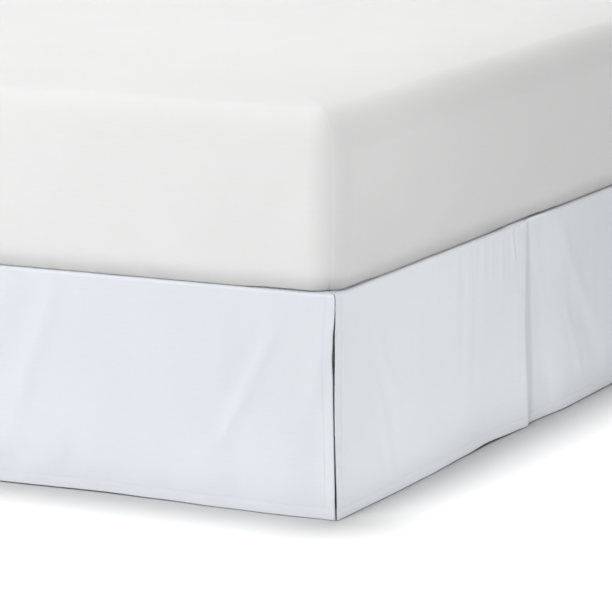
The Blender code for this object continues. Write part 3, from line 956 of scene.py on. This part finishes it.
def creaseRelief(creases, points):
    # soft ridges, or troughs where the height is negative, along straight runs
    relief = np.zeros(len(points))
    for crease in creases:
        start, stop = np.array(crease.start), np.array(crease.stop)
        run = stop - start
        length = np.linalg.norm(run)
        along = (points - start) @ (run / length)
        nearest = start + np.clip(along, 0, length)[:, None] * (run / length)
        distance = np.linalg.norm(points - nearest, axis=1)
        ends = smooth(along / (0.5 * length) + 0.3) * smooth((length - along) / (0.5 * length) + 0.3)
        relief += crease.height * ends * np.exp(-(distance / crease.halfWidth) ** 2)
    return relief


mattress = {
    "overhang": 0.0105,       # past the base's sides
    "crown": 0.020,
    "crownPower": 2.3,
    "crownFrom": 0.45,        # share of the height from which the crown is drawn
    "crownFade": 0.5,
    "shoulder": 0.190,
    "drawnIn": 0.0062,
    "tuckHeight": 0.042,      # the cover starts to draw in this far above its lower edge
    "rimDroop": 0.0034,       # its rim sinks on to the skirt's edge, less where the pleats are
    "rimRaised": 0.55,        # how much less
    "rimLift": 0.0015,        # its underside stands clear of the skirt's seams
    "rimWidths": (0.052, 0.0235),    # from the side in, of the lift and of the droop
    "rimFade": 0.020,
    "rimReach": 0.04,
    "stackReach": 0.16,       # from the middle of a pleat or from a corner
    "stackFade": 0.05,
    "rimPart": 0.3,           # share of the height that is the rim
    "lowerEdge": 12.0,        # squareness of the lower edge, 2 is round
    "swell": 0.003,
    "seamDepth": 0.0007,
    "seamWidth": 0.0014,
    "edges": {"edge": 0.050, "top": 0.068, "bottom": 0.012, "split": 80.0,
              "steps": [0.03, 0.07, 0.14, 0.28, 0.42, 0.55, 0.67, 0.78, 0.87, 0.93, 0.97, 1.0]},
    # grid lines up to a place, and how far apart: finest at the near foot corner
    "gridX": [(-0.2, 0.030), (0.30, 0.014), (0.80, 0.008), (2, 0.005)],
    "gridY": [(-0.55, 0.005), (-0.20, 0.008), (0.20, 0.014), (2, 0.030)],
    "gridZ": [(2, 0.007)],
    "waves": 0.0018,
    "waveCells": (0.22, 0.22, 0.16),
    "ripples": 0.00045,
    "rippleCells": (0.06, 0.06, 0.04),
    "evenBelow": 0.03,        # the waves fade out below this height on the cover
    "seed": 11,
    "colour": (0.800, 0.800, 0.796),
    "roughness": 0.9,
    "sheen": 0.1,
    "unevenness": 0.98,
    "paintedShade": (0.56, 0.56, 0.56),    # painted shade: the colour that the lower edge is darkened towards, where it turns under
    "paintedShadeHeight": 0.055,
    "paintedShadePower": 3.0,
    "thread": 0.0008,
    "threadDepth": 0.00012,
    "slubDepth": 0.00014,
    "fuzzDepth": 0.00005,
}

# Creases of the cover, from one point to another.
Crease = namedtuple("Crease", "start stop halfWidth height")
mattressCreases = [
    Crease((0.456, -0.448, 0.649), (0.514, -0.295, 0.649), 0.010, -0.0014),
    Crease((0.480, -0.470, 0.649), (0.545, -0.310, 0.649), 0.014, 0.0014),
    Crease((1.026, -0.345, 0.478), (1.026, -0.337, 0.440), 0.003, -0.0008),
    Crease((1.026, -0.331, 0.470), (1.026, -0.322, 0.438), 0.003, -0.0007),
    Crease((1.022, -0.750, 0.394), (1.026, -0.640, 0.378), 0.006, 0.0016),
    Crease((1.022, -0.750, 0.378), (1.026, -0.650, 0.366), 0.006, -0.0014),
    Crease((1.022, -0.748, 0.632), (1.026, -0.700, 0.568), 0.006, -0.0012),
    Crease((1.024, -0.722, 0.540), (1.024, -0.722, 0.370), 0.010, 0.0028),
    Crease((1.026, -0.660, 0.540), (1.026, -0.640, 0.380), 0.040, -0.0060),
    Crease((1.026, -0.560, 0.380), (1.026, -0.400, 0.520), 0.030, 0.0030),
    Crease((1.026, -0.430, 0.370), (1.026, -0.220, 0.500), 0.026, -0.0030),
    Crease((1.026, -0.330, 0.400), (1.026, -0.100, 0.560), 0.030, 0.0024),
    Crease((1.026, -0.180, 0.380), (1.026, 0.100, 0.520), 0.030, -0.0024),
    Crease((1.026, 0.080, 0.380), (1.026, 0.280, 0.560), 0.026, 0.0024),
    Crease((1.026, -0.090, 0.405), (1.026, 0.060, 0.365), 0.022, -0.0030),
    Crease((0.960, -0.772, 0.560), (0.900, -0.772, 0.380), 0.030, -0.0020),
    Crease((0.840, -0.772, 0.600), (0.780, -0.772, 0.400), 0.040, 0.0020),
    Crease((0.640, -0.772, 0.560), (0.700, -0.772, 0.370), 0.040, -0.0018),
]


# Faint creases all over the top of the cover.
faintCreases = {
    "count": 90,
    "reachX": 0.95,           # from the middle
    "reachY": 0.70,
    "below": 0.003,           # under the highest point of the top
    "angle": (70, 16),        # degrees from the bed's length: mean and spread
    "length": (0.06, 0.28),
    "halfWidth": (0.006, 0.018),
    "height": 0.0009,         # spread
}


def randomCreases():
    chance = random.Random(mattress["seed"])
    reachX, reachY = faintCreases["reachX"], faintCreases["reachY"]
    top = mattressHigh.z - faintCreases["below"]
    creases = []
    for _ in range(faintCreases["count"]):
        place = (chance.uniform(-reachX, reachX), chance.uniform(-reachY, reachY), top)
        angle = math.radians(chance.gauss(*faintCreases["angle"]))
        length = chance.uniform(*faintCreases["length"])
        run = (math.cos(angle) * length, math.sin(angle) * length, 0.0)
        end = tuple(a + b for a, b in zip(place, run))
        halfWidth = chance.uniform(*faintCreases["halfWidth"])
        creases.append(Crease(place, end, halfWidth, chance.gauss(0, faintCreases["height"])))
    return creases


def overPleats(points):
    # 1 over the stacked cloth of a pleat or of a corner's side hems, 0 elsewhere
    beside = np.minimum(abs(points[:, 0]), abs(abs(points[:, 0]) - baseHigh.x))
    across = np.minimum(abs(points[:, 1]), abs(abs(points[:, 1]) - baseHigh.y))
    rim = mattress["rimReach"]
    onLongSide = abs(points[:, 1]) > baseHigh.y - rim
    onEnd = abs(points[:, 0]) > baseHigh.x - rim
    near = np.minimum(np.where(onLongSide, beside, 1.0), np.where(onEnd, across, 1.0))
    return smooth((mattress["stackReach"] - near) / mattress["stackFade"])


def makeMattress():
    sizes = dict(mattress["edges"], square=mattress["lowerEdge"])
    low = (baseLow.x - mattress["overhang"], baseLow.y - mattress["overhang"], mattressLow.z)
    high = (baseHigh.x + mattress["overhang"], baseHigh.y + mattress["overhang"], mattressHigh.z)
    radius = sizes["edge"]
    linesX = graded(low[0] + radius, high[0] - radius, mattress["gridX"])
    linesY = graded(low[1] + radius, high[1] - radius, mattress["gridY"])
    linesZ = graded(low[2] + sizes["bottom"], high[2] - sizes["top"], mattress["gridZ"])
    points, way, gap, faces = softBox(low, high, sizes, (linesX, linesY, linesZ))
    fromSide = np.minimum(high[0] - abs(points[:, 0]), high[1] - abs(points[:, 1]))
    height = (points[:, 2] - low[2]) / (high[2] - low[2])
    flat = way * (1, 1, 0)
    tuck = 1.0 - np.clip((points[:, 2] - low[2]) / mattress["tuckHeight"], 0, 1)
    side = mattress["swell"] * np.sin(np.pi * np.clip(height, 0, 1)) ** 2 - mattress["drawnIn"] * tuck ** 2
    inward = 1.0 - np.clip(fromSide / mattress["shoulder"], 0, 1)
    crown = mattress["crown"] * inward ** mattress["crownPower"]
    points[:, 2] -= crown * smooth((height - mattress["crownFrom"]) / mattress["crownFade"])
    rim = smooth(1.0 - height / mattress["rimPart"])
    fade = mattress["rimFade"]
    lifted, drooping = (smooth((width - fromSide) / fade) * rim for width in mattress["rimWidths"])
    points[:, 2] += mattress["rimLift"] * lifted
    points[:, 2] -= mattress["rimDroop"] * drooping * (1.0 - mattress["rimRaised"] * overPleats(points))
    relief = creaseRelief(mattressCreases + randomCreases(), points)
    relief -= mattress["seamDepth"] * np.exp(-(gap / mattress["seamWidth"]) ** 2)
    above = smooth((points[:, 2] - low[2]) / mattress["evenBelow"])
    relief += cloudy(points, mattress["waveCells"], 21) * mattress["waves"] * above
    relief += cloudy(points, mattress["rippleCells"], 22) * mattress["ripples"] * above
    points += flat * side[:, None] + way * relief[:, None]
    mesh = boxMesh("mattress", points, faces)
    shader = clothShader("mattress_cover_woven", mattress)
    # painted shade: the cover grows darker towards its lower edge, in soft patches, standing in for the shade
    # where it turns under
    shadePatches = shader.noise(shader.place((9, 9, 2), onCloth=False), 2.0)
    up = shader.axes(shader.place(onCloth=False))[2]
    paintedShadeMask = 1.0 - up.ease(mattressLow.z, mattressLow.z + mattress["paintedShadeHeight"])
    shader.tint(paintedShadeMask ** mattress["paintedShadePower"] * (shadePatches * 0.8 + 0.5), mattress["paintedShade"])
    piece = makePiece("mattress_cover", mesh, shader.material)
    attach(piece, "root")
    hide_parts("mattress")
    print("mattress: %d faces" % len(mesh.polygons))


makeMattress()

boxBase = {
    "edges": {"edge": 0.012, "top": 0.012, "bottom": 0.012, "split": 45.0,
              "steps": [0.25, 0.5, 0.75, 0.9, 1.0]},
    "welt": 0.0024,           # radius of the cord along the top and bottom edges
    "spacing": 0.02,
    "slack": 0.0012,          # unevenness of the cover on the frame
    "slackCells": (0.12, 0.12, 0.5),
    "slackShare": 0.4,        # of it that is uneven
    "colour": (0.56, 0.555, 0.54),
    "roughness": 0.95,
    "sheen": 0.1,
    "unevenness": 0.90,
    "thread": 0.0012,
    "threadDepth": 0.00025,
    "slubDepth": 0.00025,
    "fuzzDepth": 0.00008,
}


def makeBase():
    sizes = boxBase["edges"]
    lines = [evenly(low, high, boxBase["spacing"]) for low, high in zip(baseLow, baseHigh)]
    points, way, _, faces = softBox(tuple(baseLow), tuple(baseHigh), sizes, lines)
    # the cover gives inwards a little between its edges, on the sides only
    height = (points[:, 2] - baseLow.z) / (baseHigh.z - baseLow.z)
    uneven = boxBase["slackShare"]
    slack = 1.0 - uneven + uneven * cloudy(points, boxBase["slackCells"], 31)
    slack = np.sin(np.pi * np.clip(height, 0, 1)) * slack
    points -= way * (1, 1, 0) * (boxBase["slack"] * np.clip(slack, 0, 1))[:, None]
    mesh = boxMesh("box_base", points, faces)
    shader = clothShader("base_cover_woven", boxBase)
    piece = makePiece("base_cover", mesh, shader.material)
    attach(piece, "root")
    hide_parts("box_base")
    print("base: %d faces" % len(mesh.polygons))
    makeWelts(shader.material)


def roundedLoop(low, high, radius, z, steps):
    loop = []
    corners = [(high.x, high.y, 0), (low.x, high.y, 90), (low.x, low.y, 180), (high.x, low.y, 270)]
    for x, y, turn in corners:
        middle = (x - math.copysign(radius, x), y - math.copysign(radius, y))
        for index in range(steps + 1):
            angle = math.radians(turn + 90 * index / steps)
            loop.append((middle[0] + radius * math.cos(angle), middle[1] + radius * math.sin(angle), z))
    return loop


def makeWelts(material):
    # a cord sewn in along the upper and the lower edge of the cover
    edge = boxBase["edges"]["edge"]
    inset = edge * (1.0 - math.sqrt(0.5))
    low, high = baseLow + Vector((inset, inset, inset)), baseHigh - Vector((inset, inset, inset))
    loops = [roundedLoop(low, high, edge - inset, z, 6) for z in (low.z, high.z)]
    growth = Growth("welts", {"Radius": boxBase["welt"]})
    curve = growth.add("GeometryNodeMeshToCurve", None, {0: growth.given["Geometry"]})[0]
    values = {"Resolution": 10, "Radius": growth.given["Radius"]}
    ring = growth.add("GeometryNodeCurvePrimitiveCircle", None, values)[0]
    cord = growth.add("GeometryNodeCurveToMesh", None, {"Curve": curve, "Profile Curve": ring})[0]
    growth.finish(cord, material)
    piece = makePiece("base_welts", lineMesh("base_welts", loops, closed=True), material)
    growth.run(piece)
    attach(piece, "root")
    print("welts: %d faces" % len(piece.data.polygons))


makeBase()

legs = {
    "x": (-0.866, 0.0, 0.866),
    "y": (-0.642, 0.0, 0.642),
    "height": 0.1267,
    "radius": 0.030,          # at the ring
    "rows": 60,
    "sides": 28,
    # radius as a share of the ring's, by height as a share of the leg's
    "profile": [(0.0, 0.66), (0.008, 0.68), (0.022, 0.68), (0.030, 0.72), (0.040, 0.745), (0.70, 0.925),
                (0.755, 0.94), (0.765, 0.90), (0.785, 0.90), (0.795, 0.975), (0.815, 1.0), (0.845, 1.0),
                (0.865, 0.975), (0.875, 0.925), (0.985, 0.95), (1.0, 0.93)],
    "colour": (0.300, 0.165, 0.078),
    "grain": (0.170, 0.085, 0.038),
    "roughness": 0.42,
    "pad": (0.0026, 0.0030),  # a felt pad ends at this height
    "padColour": (0.05, 0.048, 0.045),
}


def makeLegs():
    shader = Shader("leg_wood_oiled", legs["colour"], legs["roughness"])
    height = shader.axes(shader.place(onCloth=False))[2]
    rings = shader.noise(shader.place((9, 9, 1.2), onCloth=False), 3.0)
    fibre = shader.noise(shader.place((420, 420, 9), onCloth=False), 4.0)
    pores = shader.noise(shader.place((1500, 1500, 45), onCloth=False), 2.0)
    grain = ((rings * 60.0).sine() * 0.35 + fibre * 0.9).ease(0.15, 0.85)
    shader.tint(grain * 0.8, legs["grain"])
    shader.tint(pores.ease(0.62, 0.75) * 0.5, tuple(channel * 0.5 for channel in legs["grain"]))
    pad = 1.0 - height.ease(*legs["pad"])
    shader.tint(pad, legs["padColour"])
    shader.feed(shader.surface.inputs["Roughness"], fibre * 0.2 + 0.33 + pad * 0.4)
    shader.bump(fibre, 0.00015, 0.5)
    shader.bump(pores, 0.0001, 0.4)
    growth = Growth("legs", {name.capitalize(): legs[name] for name in ("height", "radius", "rows", "sides")})
    given = growth.given
    top = growth.add("ShaderNodeCombineXYZ", None, {2: given["Height"]})[0]
    line = growth.add("GeometryNodeCurvePrimitiveLine", None, {"Start": (0, 0, 0), "End": top})[0]
    line = growth.add("GeometryNodeResampleCurve", None, {"Curve": line, "Count": given["Rows"]})[0]
    share = growth.add("GeometryNodeSplineParameter")["Factor"]
    profile = growth.tree.nodes.new("ShaderNodeFloatCurve")
    stops = profile.mapping.curves[0].points
    for index, (at, radius) in enumerate(legs["profile"]):
        stop = stops[index] if index < 2 else stops.new(at, radius)
        stop.location = (at, radius)
        stop.handle_type = "VECTOR"
    profile.mapping.update()
    growth.tree.links.new(share, profile.inputs["Value"])
    radius = growth.sum("MULTIPLY", profile.outputs[0], given["Radius"])
    values = {"Resolution": given["Sides"], "Radius": 1.0}
    ring = growth.add("GeometryNodeCurvePrimitiveCircle", None, values)[0]
    values = {"Curve": line, "Profile Curve": ring, "Scale": radius, "Fill Caps": True}
    leg = growth.add("GeometryNodeCurveToMesh", None, values)[0]
    values = {"Points": given["Geometry"], "Instance": leg}
    growth.finish(growth.add("GeometryNodeInstanceOnPoints", None, values)[0], shader.material)
    spots = bpy.data.meshes.new("legs")
    spots.from_pydata([(x, y, 0.0) for x in legs["x"] for y in legs["y"]], [], [])
    piece = makePiece("legs", spots, shader.material)
    growth.run(piece)
    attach(piece, "root")
    for end in ("head", "middle", "foot"):
        for side in ("near", "centre", "far"):
            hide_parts("leg_%s_%s" % (end, side))
    print("legs: %d faces" % len(piece.data.polygons))


makeLegs()

studio = {
    "floorColour": (0.60, 0.60, 0.60),
    "skyLow": 0.4,            # brightness at the horizon and overhead
    "skyHigh": 0.06,
    "skyBand": (0.04, 0.25),  # sine of the height over which it fades
    "floorReach": 60.0,
}
# Suns that light only the floor: tilt in degrees towards +X and +Y, size and strength.
floorSuns = {
    "floorShadow": {"tilt": (-7.5, 9.5), "size": 19.0, "strength": 3.7},
    "floorFill": {"tilt": (-5.0, -42.0), "size": 40.0, "strength": 2.4},
}
# A spot that grazes the foot pleat, taller than wide: its beam keeps off the corner.
pleatSpot = {
    "place": (1.72, -3.0, 0.24),
    "aim": (1.03, 0.20, 0.19),
    "beam": 9.0,              # degrees across
    "tall": 3.8,              # how much taller it is
    "size": 0.08,
    "power": 185,
}
# Soft boxes, and the pieces that they light.
SoftBox = namedtuple("SoftBox", "place aim size power on")
softBoxes = {
    "top": SoftBox((0.2, 0.2, 3.0), (0.2, 0.0, 0.0), (4.0, 3.0), 74, "bed"),
    "front": SoftBox((-0.6, -4.0, 3.4), (0.2, -0.6, 0.5), (2.0, 2.0), 73, "bed"),
    "left": SoftBox((-2.6, -3.2, 1.3), (-0.2, -0.77, 0.4), (1.0, 1.0), 38, "bed"),
    "right": SoftBox((2.2, -3.6, 2.8), (1.0, -0.5, 0.4), (1.2, 1.2), 17, "bed"),
    "corner": SoftBox((1.60, -0.745, 0.80), (1.02, -0.4, 0.5), (0.3, 0.05), 0.66, "mattress"),
    "nearFill": SoftBox((0.2, -3.6, 1.5), (0.3, -0.77, 0.4), (2.0, 0.6), 13, "near"),
    "nearHem": SoftBox((0.2, -0.91, 0.02), (0.2, -0.77, 0.05), (3.6, 0.02), 0.50, "near"),
    "footLeft": SoftBox((1.83, -0.79, 0.42), (1.03, -0.60, 0.2), (0.25, 0.25), 2.1, "foot"),
    "footHem": SoftBox((1.165, -0.1, 0.02), (1.03, -0.1, 0.05), (2.4, 0.02), 0.40, "foot"),
    "far": SoftBox((0.4, 4.6, 1.3), (0.0, 0.7, 0.3), (3.0, 2.0), 60, "bed"),
    "head": SoftBox((-4.8, 0.8, 1.3), (-1.0, 0.0, 0.3), (3.0, 2.0), 50, "bed"),
}


def makeFloor():
    mesh = bpy.data.meshes.new("floor")
    size = studio["floorReach"]
    corners = [(-size, -size, 0), (size, -size, 0), (size, size, 0), (-size, size, 0)]
    mesh.from_pydata(corners, [], [(0, 1, 2, 3)])
    floor = bpy.data.objects.new("floor", mesh)
    shader = Shader("floor_paint", studio["floorColour"], 0.9)
    shader.surface.inputs["Specular IOR Level"].default_value = 0.1
    mesh.materials.append(shader.material)
    bpy.context.scene.collection.objects.link(floor)
    floor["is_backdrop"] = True
    return floor


def placeLight(light, receivers, place, aim):
    lamp = bpy.data.objects.new(light.name, light)
    bpy.context.scene.collection.objects.link(lamp)
    lamp.location = place
    lamp.rotation_euler = (Vector(aim) - Vector(place)).to_track_quat("-Z", "Y").to_euler()
    lamp.light_linking.receiver_collection = receivers
    lamp.visible_camera = False
    return lamp


def makeStudio():
    floor = makeFloor()
    parts = ("floor", "bed", "mattress", "foot", "near")
    lit = {part: bpy.data.collections.new("lit_" + part) for part in parts}
    lit["floor"].objects.link(floor)
    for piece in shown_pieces():
        lit["bed"].objects.link(piece)
        for start, part in (("mattress", "mattress"), ("drop_foot", "foot"), ("drop_side_near", "near")):
            if piece.name.startswith(start):
                lit[part].objects.link(piece)
    for name, values in floorSuns.items():
        sun = bpy.data.lights.new(name, "SUN")
        sun.energy = values["strength"]
        sun.angle = math.radians(values["size"])
        tiltX, tiltY = (math.tan(math.radians(angle)) for angle in values["tilt"])
        placeLight(sun, lit["floor"], (5 * tiltX, 5 * tiltY, 5), (0, 0, 0))
    for name, box in softBoxes.items():
        light = bpy.data.lights.new(name, "AREA")
        light.shape = "RECTANGLE"
        light.size, light.size_y = box.size
        light.energy = box.power
        placeLight(light, lit[box.on], box.place, box.aim)
    spot = bpy.data.lights.new("pleatSpot", "SPOT")
    spot.energy = pleatSpot["power"]
    spot.spot_size = math.radians(pleatSpot["beam"])
    spot.spot_blend = 1.0
    spot.shadow_soft_size = pleatSpot["size"]
    lamp = placeLight(spot, lit["foot"], pleatSpot["place"], pleatSpot["aim"])
    lamp.scale = (1.0, pleatSpot["tall"], 1.0)
    world = bpy.data.worlds.new("studio")
    bpy.context.scene.world = world
    world.use_nodes = True
    nodes, links = world.node_tree.nodes, world.node_tree.links
    direction = nodes.new("ShaderNodeTexCoord")
    split = nodes.new("ShaderNodeSeparateXYZ")
    ramp = nodes.new("ShaderNodeMapRange")
    ramp.interpolation_type = "SMOOTHSTEP"
    ramp.inputs["From Min"].default_value, ramp.inputs["From Max"].default_value = studio["skyBand"]
    ramp.inputs["To Min"].default_value = studio["skyLow"]
    ramp.inputs["To Max"].default_value = studio["skyHigh"]
    links.new(direction.outputs["Generated"], split.inputs[0])
    links.new(split.outputs["Z"], ramp.inputs["Value"])
    links.new(ramp.outputs["Result"], nodes["Background"].inputs["Strength"])
    nodes["Background"].inputs["Color"].default_value = (1, 1, 1, 1)
    bpy.context.scene.view_settings.view_transform = "Standard"


makeStudio()
